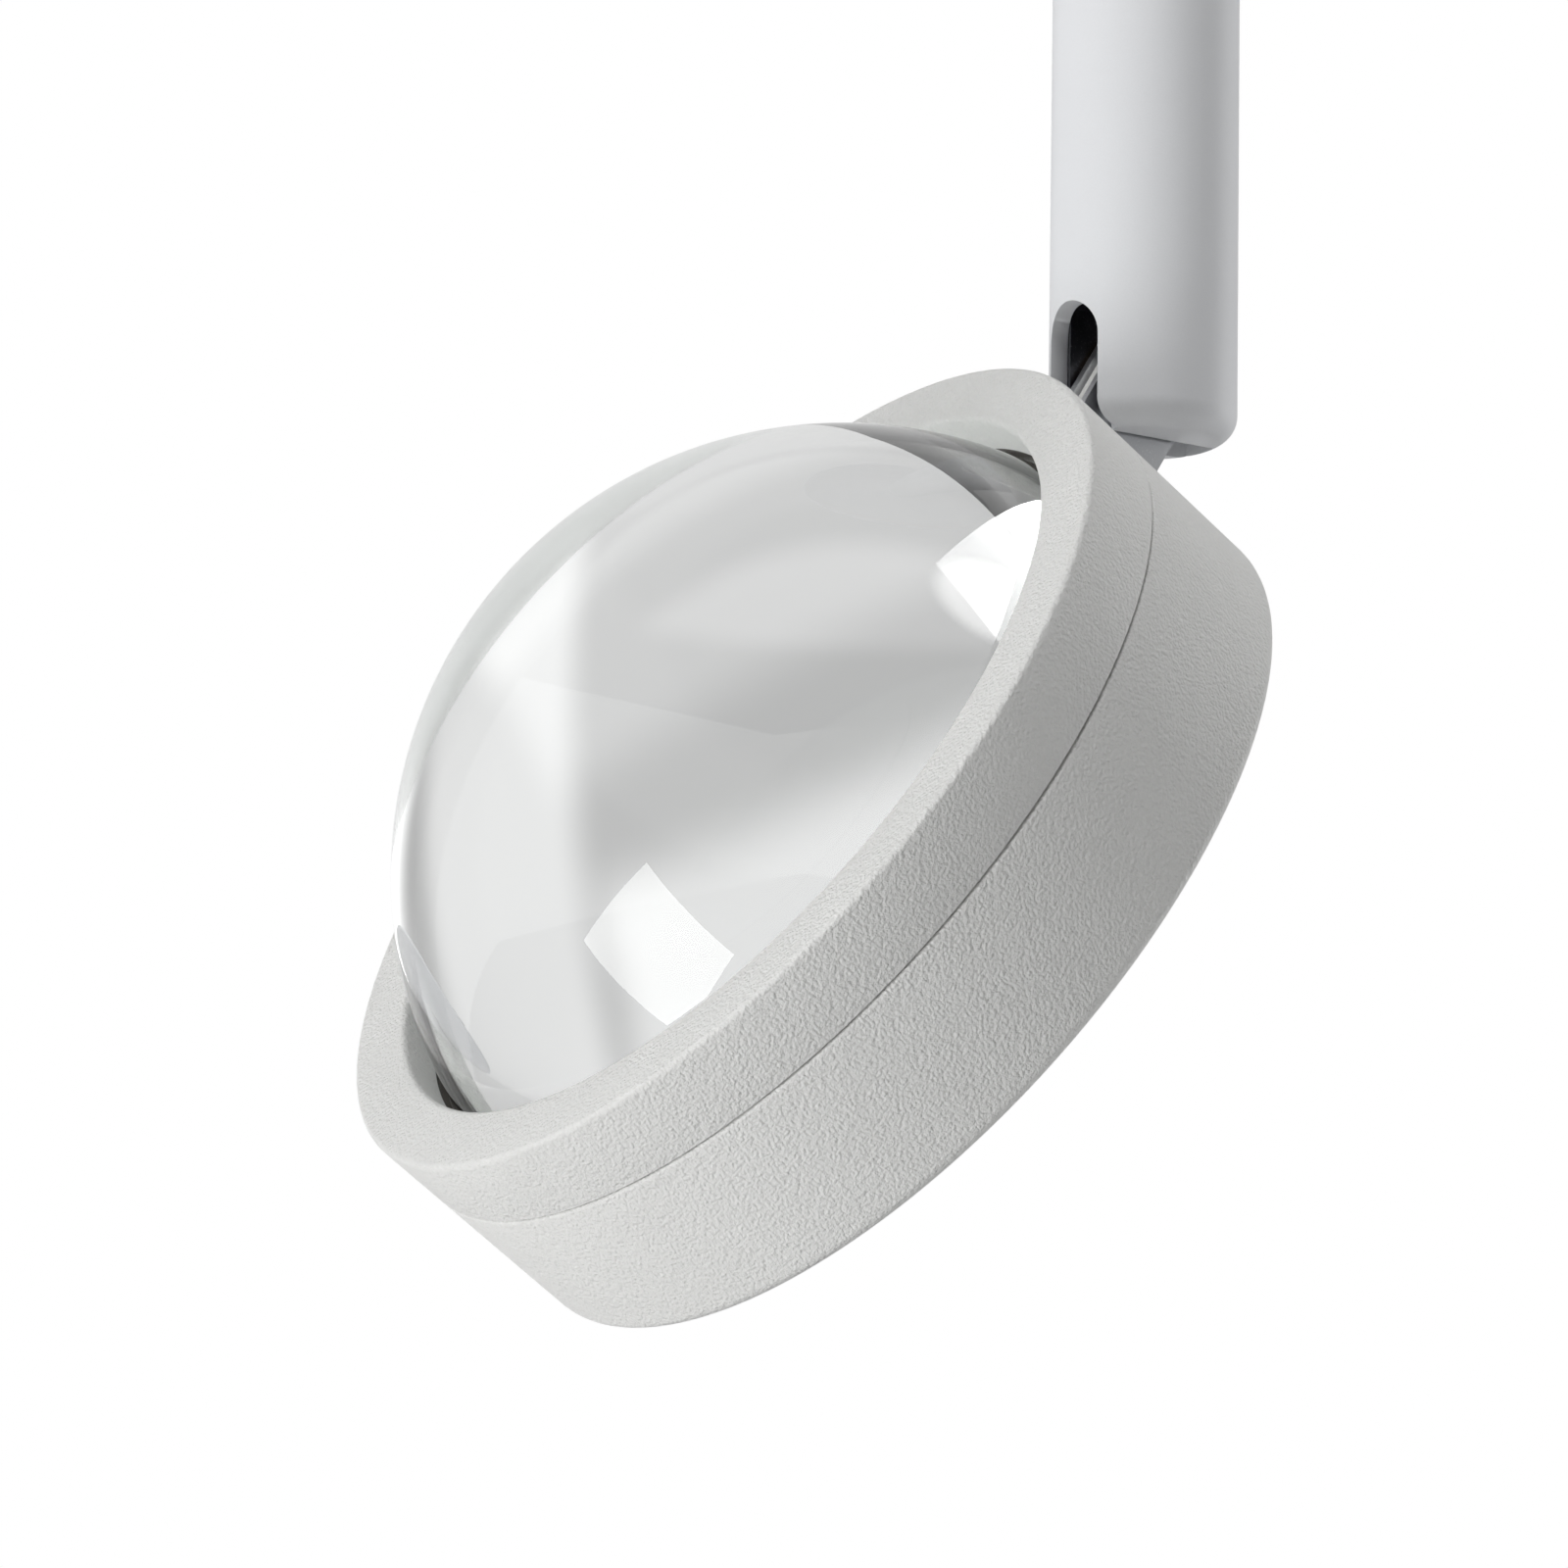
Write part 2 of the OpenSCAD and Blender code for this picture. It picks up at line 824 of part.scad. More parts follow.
module led_board() {
    color(plain_white)
        in_head()
            difference() {
                translate([0, 0, sink_top_z + pad_t])
                    cylinder(r = board_r, h = board_t);
                for (turn = [90:120:330])
                    rotate([0, 0, turn])
                        translate([board_screw_off, 0, sink_top_z])
                            cylinder(r = board_screw_r + 0.1, h = 3);
            }
}

module led_emitter() {
    color(brass_tone)
        in_head()
            union() {
                translate([-emitter_size / 2, -emitter_size / 2, board_top_z])
                    cube([emitter_size, emitter_size, emitter_t / 2]);
                translate([0, 0, board_top_z])
                    cylinder(r = emitter_size / 2 - 1, h = emitter_t);
            }
}

module board_screws() {
    color(steel)
        in_head()
            for (turn = [90:120:330])
                rotate([0, 0, turn])
                    translate([board_screw_off, 0, board_top_z])
                        difference() {
                            union() {
                                cylinder(r = board_screw_head_r - 0.3, h = 0.9);
                                translate([0, 0, -board_t - pad_t - 2])
                                    cylinder(r = board_screw_r, h = board_t + pad_t + 2 + eps);
                            }
                            translate([0, 0, 0.9])
                                cross_recess(1.6, 0.5);
                        }
}

module head_lead() {
    channel_z = -pin_depth + tab_w / 2 - channel_depth + head_lead_r + 0.05;
    start = [0, board_r + 1, board_top_z + 0.2];
    far = pin_off_axis - 1;
    color(plain_white)
        in_head()
            lead(
                concat(
                    smooth(start, start + [0, 5, 0], [0, 27, channel_z], [0, 33, channel_z], 8),
                    [for (i = [1:8]) [0, 33 + (far - 33) * i / 8, channel_z]]
                ),
                head_lead_r
            );
}

ceiling_plate();
cover_lugs();
rose_cover();
cover_screws();
earth_screw();
led_driver();
terminal_block();
terminal_screws();
supply_link_wires();
driver_output_lead();
swivel_stop_pin();
swivel_washer();
stop_washer();
spring_washer();
stem_nut();
lock_nut();
threaded_nipple();
stem_tube();
stem_lead();
hinge_fork();
fork_grub_screw();
hinge_pin();
friction_washers();
hinge_tab();
tab_screws();
rear_housing();
front_ring();
lens_gasket();
lens();
rear_gasket();
reflector_dish();
lens_seat();
diffuser_disc();
heat_sink();
thermal_pad();
led_board();
led_emitter();
board_screws();
head_lead();
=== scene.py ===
import json
import math

import bpy
from mathutils import Matrix, Vector


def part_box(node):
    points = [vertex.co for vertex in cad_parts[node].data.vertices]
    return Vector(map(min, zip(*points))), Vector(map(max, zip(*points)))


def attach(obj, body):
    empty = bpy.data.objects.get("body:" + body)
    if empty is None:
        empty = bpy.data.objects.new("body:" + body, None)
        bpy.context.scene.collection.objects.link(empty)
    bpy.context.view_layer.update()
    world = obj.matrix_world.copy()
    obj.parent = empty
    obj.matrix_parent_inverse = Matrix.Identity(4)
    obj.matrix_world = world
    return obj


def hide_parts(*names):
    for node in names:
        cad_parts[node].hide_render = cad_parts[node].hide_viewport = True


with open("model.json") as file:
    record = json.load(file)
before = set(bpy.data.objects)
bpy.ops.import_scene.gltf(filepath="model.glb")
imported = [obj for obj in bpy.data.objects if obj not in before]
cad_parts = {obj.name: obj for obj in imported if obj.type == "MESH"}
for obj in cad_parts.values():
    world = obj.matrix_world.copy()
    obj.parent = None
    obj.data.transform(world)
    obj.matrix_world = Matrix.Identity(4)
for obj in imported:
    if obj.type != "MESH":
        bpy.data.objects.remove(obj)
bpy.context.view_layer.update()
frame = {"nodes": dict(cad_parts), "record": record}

MM = 0.001
AXIS_TIP = 0.04  # how near to its axis a turned piece starts before its end is closed

# The head, in millimetres along and round its own axis
HEAD_R = 40.0
HEAD_DEPTH = 21.2
RING_DEPTH = 6.8
SEAM_GAP = 0.15
SIDE_T = 2.0
BACK_T = 1.2
BACK_ROUND = 1.2
OPENING_R = 34.4
LIP_T = 3.6
RING_BORE_R = 36.5
SKIRT_R = 37.9
SKIRT_LEN = 4.0
GASKET_T = 0.6
EDGE_ROUND = 0.5
SEAM_ROUND = 0.32

# The lens
DOME_R = 35.6
DOME_RISE = 21.0
DOME_BASE_R = 33.9
FLANGE_R = 36.2
FLANGE_T = 3.0

# The tab and its two flat-headed screws
TAB_T = 3.6
TAB_W = 8.8
TAB_DEPTH = 15.6
TAB_SCREW_X = 6
TAB_SCREW_Y = 28
SINK_OUTER_R = 2.7
SINK_INNER_R = 1.35

# The stem
STEM_R = 7.75
STEM_WALL = 1.5
STEM_ROUND = 2.3
SLOT_W = 6.4
SLOT_H = 10.8
TOP_CHAMFER = 0.3
FLOOR_H = 1.7
FLOOR_HOLE_R = 0.6
FLOOR_SLOT_W = 4.3
FLOOR_SLOT_LEN = 11.5
FLOOR_SLOT_MIDDLE = 0.35
FLOOR_SLOT_FRONT = 4.8


# ---- Small helpers ----

def middle(node):
    low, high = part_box(node)
    return (low + high) / 2


def head_place():
    """Turns and moves the head's own frame, front face at 0 and Z out of the lens, to where it hangs."""
    out = (middle("lens_gasket") - middle("thermal_pad")).normalized()
    side = Vector((1, 0, 0))
    over = out.cross(side)
    front = middle("lens_gasket") + out * (LIP_T + GASKET_T / 2) * MM
    turn = Matrix((side, over, out)).transposed().to_4x4()
    return Matrix.Translation(front) @ turn


def arc(centre_r, centre_z, radius, start, end, steps):
    """Points of an arc in the (radius, height) plane, angles in degrees from straight outwards."""
    points = []
    for i in range(steps + 1):
        angle = math.radians(start + (end - start) * i / steps)
        points.append((centre_r + radius * math.cos(angle), centre_z + radius * math.sin(angle)))
    return points


def turned(name, outline, sides=160, closed=True):
    """A piece turned on a lathe: rings are extruded one after another along an outline in millimetres."""
    bpy.ops.object.select_all(action="DESELECT")
    first_r, first_z = outline[0]
    bpy.ops.mesh.primitive_circle_add(vertices=sides, radius=first_r * MM, location=(0, 0, 0))
    piece = bpy.context.object
    piece.name = name
    piece.data.name = name
    bpy.ops.object.mode_set(mode="EDIT")
    bpy.ops.mesh.select_all(action="SELECT")
    bpy.ops.transform.translate(value=(0, 0, first_z * MM))
    at_r, at_z = first_r, first_z
    for r, z in list(outline[1:]) + ([outline[0]] if closed else []):
        step = {"value": (0, 0, (z - at_z) * MM)}
        bpy.ops.mesh.extrude_region_move(TRANSFORM_OT_translate=step)
        ratio = r / at_r
        bpy.ops.transform.resize(value=(ratio, ratio, 1), center_override=(0, 0, z * MM))
        at_r, at_z = r, z
    bpy.ops.mesh.select_all(action="SELECT")
    bpy.ops.mesh.remove_doubles(threshold=0.0005 * MM)
    bpy.ops.mesh.normals_make_consistent(inside=False)
    bpy.ops.object.mode_set(mode="OBJECT")
    return piece


def close_ends(piece, heights):
    """Closes a turned piece across its axis at the given heights, in millimetres."""
    bpy.ops.object.select_all(action="DESELECT")
    piece.select_set(True)
    bpy.context.view_layer.objects.active = piece
    for height in heights:
        bpy.ops.object.mode_set(mode="EDIT")
        bpy.ops.mesh.select_all(action="DESELECT")
        bpy.ops.object.mode_set(mode="OBJECT")
        for vertex in piece.data.vertices:
            near_axis = math.hypot(vertex.co.x, vertex.co.y) < 0.06 * MM
            vertex.select = near_axis and abs(vertex.co.z - height * MM) < 0.02 * MM
        bpy.ops.object.mode_set(mode="EDIT")
        bpy.ops.mesh.merge(type="CENTER")
    bpy.ops.mesh.select_all(action="SELECT")
    bpy.ops.mesh.normals_make_consistent(inside=False)
    bpy.ops.object.mode_set(mode="OBJECT")


def smooth(piece, angle=30):
    """Shades faces smooth where they meet at less than the angle in degrees."""
    bpy.ops.object.select_all(action="DESELECT")
    piece.select_set(True)
    bpy.context.view_layer.objects.active = piece
    bpy.ops.object.shade_smooth_by_angle(angle=math.radians(angle))


def apply_modifier(piece, modifier):
    bpy.ops.object.select_all(action="DESELECT")
    piece.select_set(True)
    bpy.context.view_layer.objects.active = piece
    bpy.ops.object.modifier_apply(modifier=modifier.name)


def cut(piece, cutter):
    """Cuts one shape out of a piece and throws the cutter away."""
    hole = piece.modifiers.new("cut", "BOOLEAN")
    hole.operation = "DIFFERENCE"
    hole.solver = "EXACT"
    hole.object = cutter
    apply_modifier(piece, hole)
    bpy.data.objects.remove(cutter)


def block(size, centre):
    """A cutter block, sizes and place in millimetres."""
    bpy.ops.object.select_all(action="DESELECT")
    bpy.ops.mesh.primitive_cube_add(size=1, location=(0, 0, 0))
    cutter = bpy.context.object
    cutter.data.transform(Matrix.Diagonal([s * MM for s in size] + [1]))
    cutter.data.transform(Matrix.Translation([c * MM for c in centre]))
    return cutter


def finish_piece(piece, place, body, material, slot_name, *nodes):
    """Puts a piece where it belongs, with its body, its material and the nodes it stands for."""
    piece.data.transform(place)
    piece.data.materials.clear()
    piece.data.materials.append(material)
    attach(piece, body)
    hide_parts(*nodes)
    return piece


# ---- Shader helpers ----

def link(tree, source, target):
    tree.links.new(source, target)


def node(tree, kind, **values):
    made = tree.nodes.new(kind)
    for key, value in values.items():
        if hasattr(made, key):
            setattr(made, key, value)
        else:
            made.inputs[key.replace("_", " ")].default_value = value
    return made


def maths(tree, operation, first, second=0.0):
    made = tree.nodes.new("ShaderNodeMath")
    made.operation = operation
    for index, value in enumerate((first, second)):
        if isinstance(value, (int, float)):
            made.inputs[index].default_value = value
        else:
            tree.links.new(value, made.inputs[index])
    return made.outputs[0]


def ramp(tree, source, low, high, to_low=0.0, to_high=1.0):
    made = tree.nodes.new("ShaderNodeMapRange")
    made.inputs["From Min"].default_value = low
    made.inputs["From Max"].default_value = high
    made.inputs["To Min"].default_value = to_low
    made.inputs["To Max"].default_value = to_high
    tree.links.new(source, made.inputs["Value"])
    return made.outputs["Result"]


def new_group(name, inputs, outputs):
    """An empty shader group with its named float inputs and outputs."""
    tree = bpy.data.node_groups.new(name, "ShaderNodeTree")
    for label, default in inputs:
        socket = tree.interface.new_socket(label, in_out="INPUT", socket_type="NodeSocketFloat")
        socket.default_value = default
    for label in outputs:
        tree.interface.new_socket(label, in_out="OUTPUT", socket_type="NodeSocketFloat")
    return tree, tree.nodes.new("NodeGroupInput"), tree.nodes.new("NodeGroupOutput")


def powder_grain_group():
    """Pebbled height and fine speckle of a sprayed powder coat; Size is the grain in metres."""
    tree, given, out = new_group(
        "powder_grain", [("Size", 0.0004), ("Roughness", 0.5)], ["Height", "Speckle"]
    )
    place = node(tree, "ShaderNodeTexCoord").outputs["Object"]
    scale = maths(tree, "DIVIDE", 1.0, given.outputs["Size"])
    lumps = node(tree, "ShaderNodeTexNoise", Detail=2.0)
    link(tree, place, lumps.inputs["Vector"])
    link(tree, scale, lumps.inputs["Scale"])
    link(tree, given.outputs["Roughness"], lumps.inputs["Roughness"])
    pebbles = node(tree, "ShaderNodeTexVoronoi", feature="SMOOTH_F1", Smoothness=0.6)
    link(tree, place, pebbles.inputs["Vector"])
    link(tree, maths(tree, "MULTIPLY", scale, 0.7), pebbles.inputs["Scale"])
    swell = maths(tree, "SUBTRACT", 1.0, pebbles.outputs["Distance"])
    height = maths(tree, "ADD", maths(tree, "MULTIPLY", lumps.outputs["Fac"], 0.65),
                   maths(tree, "MULTIPLY", swell, 0.35))
    link(tree, height, out.inputs["Height"])
    specks = node(tree, "ShaderNodeTexNoise", Detail=1.0)
    link(tree, place, specks.inputs["Vector"])
    link(tree, maths(tree, "MULTIPLY", scale, 2.3), specks.inputs["Scale"])
    link(tree, ramp(tree, specks.outputs["Fac"], 0.35, 0.65), out.inputs["Speckle"])
    return tree


def soft_variation_group():
    """Slow, faint clouds over a surface, for colour and gloss that aren't quite even."""
    tree, given, out = new_group("soft_variation", [("Size", 0.02)], ["Cloud"])
    place = node(tree, "ShaderNodeTexCoord").outputs["Object"]
    clouds = node(tree, "ShaderNodeTexNoise", Detail=3.0, Roughness=0.55)
    link(tree, place, clouds.inputs["Vector"])
    link(tree, maths(tree, "DIVIDE", 1.0, given.outputs["Size"]), clouds.inputs["Scale"])
    link(tree, ramp(tree, clouds.outputs["Fac"], 0.3, 0.7), out.inputs["Cloud"])
    return tree


def machined_group():
    """Fine turning or brushing lines along one direction, with a mask of the deeper scratches."""
    tree, given, out = new_group(
        "machined_lines", [("Size", 0.0002), ("Stretch", 12.0)], ["Height", "Scratch"]
    )
    place = node(tree, "ShaderNodeTexCoord").outputs["Object"]
    split = node(tree, "ShaderNodeSeparateXYZ")
    link(tree, place, split.inputs["Vector"])
    joined = node(tree, "ShaderNodeCombineXYZ")
    link(tree, maths(tree, "DIVIDE", split.outputs["X"], given.outputs["Stretch"]), joined.inputs["X"])
    link(tree, split.outputs["Y"], joined.inputs["Y"])
    link(tree, split.outputs["Z"], joined.inputs["Z"])
    lines = node(tree, "ShaderNodeTexNoise", Detail=3.0, Roughness=0.6)
    link(tree, joined.outputs["Vector"], lines.inputs["Vector"])
    link(tree, maths(tree, "DIVIDE", 1.0, given.outputs["Size"]), lines.inputs["Scale"])
    link(tree, lines.outputs["Fac"], out.inputs["Height"])
    link(tree, ramp(tree, lines.outputs["Fac"], 0.58, 0.75), out.inputs["Scratch"])
    return tree


GROUPS = {
    "grain": powder_grain_group(),
    "cloud": soft_variation_group(),
    "lines": machined_group(),
}


def place_group(tree, kind, **values):
    made = tree.nodes.new("ShaderNodeGroup")
    made.node_tree = GROUPS[kind]
    for key, value in values.items():
        made.inputs[key].default_value = value
    return made


def new_material(name):
    """A material with one Principled shader joined to its output."""
    material = bpy.data.materials.new(name)
    material.use_nodes = True
    tree = material.node_tree
    tree.nodes.clear()
    shader = tree.nodes.new("ShaderNodeBsdfPrincipled")
    output = tree.nodes.new("ShaderNodeOutputMaterial")
    link(tree, shader.outputs["BSDF"], output.inputs["Surface"])
    return material, tree, shader, output


def mixed_colour(tree, factor, first, second):
    mix = tree.nodes.new("ShaderNodeMix")
    mix.data_type = "RGBA"
    mix.inputs["A"].default_value = (*first, 1)
    mix.inputs["B"].default_value = (*second, 1)
    link(tree, factor, mix.inputs["Factor"])
    return mix.outputs["Result"]


def bump(tree, shader, height, strength, distance):
    made = tree.nodes.new("ShaderNodeBump")
    made.inputs["Strength"].default_value = strength
    made.inputs["Distance"].default_value = distance
    link(tree, height, made.inputs["Height"])
    link(tree, made.outputs["Normal"], shader.inputs["Normal"])


# ---- Materials ----

def coated_white(name, light, shade, grain_size, depth, gloss, spread):
    """Powder coat: pebbled grain, faint clouds and specks in its white, and an uneven sheen."""
    material, tree, shader, _ = new_material(name)
    grain = place_group(tree, "grain", Size=grain_size)
    cloud = place_group(tree, "cloud", Size=0.018)
    tint = maths(tree, "ADD", maths(tree, "MULTIPLY", cloud.outputs["Cloud"], 0.6),
                 maths(tree, "MULTIPLY", grain.outputs["Speckle"], 0.4))
    link(tree, mixed_colour(tree, tint, shade, light), shader.inputs["Base Color"])
    sheen = ramp(tree, grain.outputs["Speckle"], 0.0, 1.0, gloss - spread, gloss + spread)
    link(tree, sheen, shader.inputs["Roughness"])
    shader.inputs["Specular IOR Level"].default_value = 0.45
    bump(tree, shader, grain.outputs["Height"], 1.0, depth)
    return material


def metal(name, colour, worn, gloss, line_size=0.0002, stretch=12.0, depth=0.00002):
    """Bare metal with machining lines, brighter scratches and cloudy gloss."""
    material, tree, shader, _ = new_material(name)
    lines = place_group(tree, "lines", Size=line_size, Stretch=stretch)
    cloud = place_group(tree, "cloud", Size=0.004)
    link(tree, mixed_colour(tree, lines.outputs["Scratch"], colour, worn), shader.inputs["Base Color"])
    shader.inputs["Metallic"].default_value = 1.0
    link(tree, ramp(tree, cloud.outputs["Cloud"], 0.0, 1.0, gloss - 0.06, gloss + 0.1),
         shader.inputs["Roughness"])
    bump(tree, shader, lines.outputs["Height"], 0.6, depth)
    return material


def moulded(name, light, shade, gloss, grain_size=0.0005, depth=0.00001):
    """Moulded plastic or rubber with a fine mould texture and slight clouding."""
    material, tree, shader, _ = new_material(name)
    grain = place_group(tree, "grain", Size=grain_size)
    cloud = place_group(tree, "cloud", Size=0.008)
    link(tree, mixed_colour(tree, cloud.outputs["Cloud"], shade, light), shader.inputs["Base Color"])
    link(tree, ramp(tree, grain.outputs["Speckle"], 0.0, 1.0, gloss - 0.05, gloss + 0.05),
         shader.inputs["Roughness"])
    bump(tree, shader, grain.outputs["Height"], 0.7, depth)
    return material


def clear_glass():
    """Thick pressed glass, faintly green, that lets lamps light what lies behind it."""
    material, tree, shader, output = new_material("clear_glass")
    shader.inputs["Base Color"].default_value = (0.985, 0.995, 0.99, 1)
    shader.inputs["Roughness"].default_value = 0.0
    shader.inputs["IOR"].default_value = 1.51
    shader.inputs["Transmission Weight"].default_value = 1.0
    flow = place_group(tree, "cloud", Size=0.03)
    bump(tree, shader, flow.outputs["Cloud"], 0.15, 0.00001)
    through = tree.nodes.new("ShaderNodeBsdfTransparent")
    through.inputs["Color"].default_value = (0.93, 0.95, 0.94, 1)
    rays = tree.nodes.new("ShaderNodeLightPath")
    mix = tree.nodes.new("ShaderNodeMixShader")
    link(tree, rays.outputs["Is Shadow Ray"], mix.inputs["Fac"])
    link(tree, shader.outputs["BSDF"], mix.inputs[1])
    link(tree, through.outputs["BSDF"], mix.inputs[2])
    link(tree, mix.outputs["Shader"], output.inputs["Surface"])
    return material


MATERIALS = {
    "coarse_white": coated_white("coarse_white", (0.84, 0.84, 0.825), (0.78, 0.78, 0.765),
                                 0.00026, 0.00024, 0.55, 0.08),
    "satin_white": coated_white("satin_white", (0.84, 0.85, 0.87), (0.8, 0.81, 0.83),
                                0.00025, 0.000008, 0.38, 0.05),
    "clear_glass": clear_glass(),
    "gasket_grey": moulded("gasket_grey", (0.11, 0.1, 0.09), (0.07, 0.065, 0.06), 0.6),
    "white_plastic": moulded("white_plastic", (0.85, 0.85, 0.83), (0.78, 0.78, 0.76), 0.45),
    "dish_white": moulded("dish_white", (0.8, 0.8, 0.795), (0.75, 0.75, 0.745), 0.5),
    "opal": moulded("opal", (0.93, 0.93, 0.92), (0.88, 0.88, 0.87), 0.35),
    "aluminium": metal("aluminium", (0.7, 0.71, 0.73), (0.85, 0.86, 0.87), 0.35),
    "zinc_steel": metal("zinc_steel", (0.55, 0.56, 0.58), (0.75, 0.76, 0.78), 0.3),
    "black_steel": metal("black_steel", (0.2, 0.2, 0.22), (0.5, 0.5, 0.52), 0.28),
    "brass": metal("brass", (0.62, 0.45, 0.2), (0.8, 0.65, 0.36), 0.3),
    "lead_white": moulded("lead_white", (0.8, 0.8, 0.78), (0.7, 0.7, 0.68), 0.4),
    "wire_grey": moulded("wire_grey", (0.3, 0.31, 0.33), (0.24, 0.25, 0.27), 0.4),
    "emitter_yellow": moulded("emitter_yellow", (0.85, 0.65, 0.15), (0.75, 0.55, 0.1), 0.5),
}


def paint_nodes():
    """Gives every CAD node that stays the material of its slot."""
    for entry in frame["record"]["subparts"]:
        obj = frame["nodes"][entry["node"]]
        obj.data.materials.clear()
        obj.data.materials.append(MATERIALS[entry["material_slot"]])


# ---- Pieces of the head ----

def make_lens(place):
    """Dome, its foot, the flange under the ring and the flat back, as one body of glass."""
    dome_centre = DOME_RISE - DOME_R
    foot_angle = math.degrees(math.acos(DOME_BASE_R / DOME_R))
    flange_top = -LIP_T - GASKET_T
    back = flange_top - FLANGE_T
    tip_angle = math.degrees(math.acos(AXIS_TIP / DOME_R))
    foot_round, top_round, back_round = 0.25, 0.3, 0.5
    outline = arc(0, dome_centre, DOME_R, tip_angle, foot_angle, 72)
    outline += arc(DOME_BASE_R + foot_round, flange_top + foot_round, foot_round, 180, 270, 4)
    outline += arc(FLANGE_R - top_round, flange_top - top_round, top_round, 90, 0, 4)
    outline += arc(FLANGE_R - back_round, back + back_round, back_round, 0, -90, 4)
    outline += [(r, back) for r in (30, 20, 10, 3, AXIS_TIP)]
    lens = turned("lens_glass", outline, sides=256, closed=False)
    close_ends(lens, [DOME_RISE, back])
    smooth(lens, 25)
    finish_piece(lens, place, "lamp_head", MATERIALS["clear_glass"], "clear_glass", "lens")


def make_front_ring(place):
    """The ring that holds the lens: flat face, softened edges, inner lip and the skirt that screws in."""
    seam_edge, lip_edge = 0.12, 0.15
    outline = arc(OPENING_R + EDGE_ROUND, -EDGE_ROUND, EDGE_ROUND, 180, 90, 6)
    outline += arc(HEAD_R - EDGE_ROUND, -EDGE_ROUND, EDGE_ROUND, 90, 0, 6)
    outline += arc(HEAD_R - seam_edge, -RING_DEPTH + seam_edge, seam_edge, 0, -90, 3)
    outline += [(SKIRT_R, -RING_DEPTH), (SKIRT_R, -RING_DEPTH - SKIRT_LEN)]
    outline += [(RING_BORE_R, -RING_DEPTH - SKIRT_LEN), (RING_BORE_R, -LIP_T)]
    outline += arc(OPENING_R + lip_edge, -LIP_T + lip_edge, lip_edge, 270, 180, 3)
    ring = turned("front_ring_shell", outline, sides=256)
    smooth(ring, 35)
    finish_piece(ring, place, "lamp_head", MATERIALS["coarse_white"], "coarse_white", "front_ring")


def countersink(x, y, back):
    """A cutter cone that seats one of the flat-headed screws in the housing's back."""
    over = 0.4
    widen = (SINK_OUTER_R - SINK_INNER_R) / BACK_T * over
    bpy.ops.object.select_all(action="DESELECT")
    bpy.ops.mesh.primitive_cone_add(vertices=64, radius1=(SINK_OUTER_R + widen) * MM,
                                    radius2=(SINK_INNER_R - widen) * MM,
                                    depth=(BACK_T + 2 * over) * MM)
    cone = bpy.context.object
    cone.data.transform(Matrix.Translation((x * MM, y * MM, (back + BACK_T / 2) * MM)))
    return cone


def make_rear_housing(place):
    """The cup behind the seam, with its rounded back edge and the opening that the tab comes out of."""
    front = -RING_DEPTH - SEAM_GAP
    back = -HEAD_DEPTH
    inner_back = back + BACK_T
    inner_r = HEAD_R - SIDE_T
    outline = [(AXIS_TIP, back), (12, back), (26, back)]
    outline += arc(HEAD_R - BACK_ROUND, back + BACK_ROUND, BACK_ROUND, -90, 0, 8)
    outline += arc(HEAD_R - SEAM_ROUND, front - SEAM_ROUND, SEAM_ROUND, 0, 90, 5)
    outline += [(inner_r, front), (inner_r, inner_back), (26, inner_back), (12, inner_back)]
    outline += [(AXIS_TIP, inner_back)]
    shell = turned("rear_housing_shell", outline, sides=256, closed=False)
    close_ends(shell, [back, inner_back])
    cut(shell, block((TAB_T + 0.1, 10, TAB_W + 0.05), (0, HEAD_R, -TAB_DEPTH)))
    for side in (-1, 1):
        cut(shell, countersink(side * TAB_SCREW_X, TAB_SCREW_Y, back))
    smooth(shell, 35)
    finish_piece(shell, place, "lamp_head", MATERIALS["coarse_white"], "coarse_white", "rear_housing")


# ---- Stem ----

def make_stem():
    """The stem tube: a rounded end, a round-topped slot in its front and a narrow one in its floor."""
    low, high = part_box("stem_tube")
    end, top = low.z / MM, high.z / MM
    bore = STEM_R - STEM_WALL
    flat_r = STEM_R - STEM_ROUND
    floor_top = end + FLOOR_H
    outline = [(FLOOR_HOLE_R, end), (flat_r, end)]
    outline += arc(flat_r, end + STEM_ROUND, STEM_ROUND, -90, 0, 12)[1:]
    outline += [(STEM_R, end + 12), (STEM_R, end + 40)]
    outline += [(STEM_R, top - TOP_CHAMFER), (STEM_R - TOP_CHAMFER, top)]
    outline += [(bore, top), (bore, floor_top), (FLOOR_HOLE_R, floor_top)]
    tube = turned("stem_tube_shell", outline, sides=128)
    reach = 20
    arch = SLOT_H - SLOT_W / 2
    bpy.ops.object.select_all(action="DESELECT")
    bpy.ops.mesh.primitive_cylinder_add(vertices=64, radius=SLOT_W / 2 * MM, depth=2 * reach * MM)
    rounding = bpy.context.object
    rounding.data.transform(Matrix.Rotation(math.pi / 2, 4, "X"))
    rounding.data.transform(Matrix.Translation((0, -reach * MM, (end + arch) * MM)))
    cut(tube, rounding)
    straight = arch - FLOOR_H
    cut(tube, block((SLOT_W, reach, straight), (0, -reach / 2, floor_top + straight / 2)))
    wall_only = -FLOOR_SLOT_FRONT - reach / 2
    cut(tube, block((SLOT_W, reach, FLOOR_H + 3), (0, wall_only, end + FLOOR_H / 2)))
    cut(tube, block((FLOOR_SLOT_W, FLOOR_SLOT_LEN, FLOOR_H + 2),
                    (0, FLOOR_SLOT_MIDDLE, end + FLOOR_H / 2)))
    soften = tube.modifiers.new("soften", "BEVEL")
    soften.width = 0.2 * MM
    soften.segments = 2
    soften.limit_method = "ANGLE"
    soften.angle_limit = math.radians(50)
    apply_modifier(tube, soften)
    smooth(tube, 35)
    finish_piece(tube, Matrix.Identity(4), "stem", MATERIALS["satin_white"], "satin_white", "stem_tube")


# ---- Studio ----

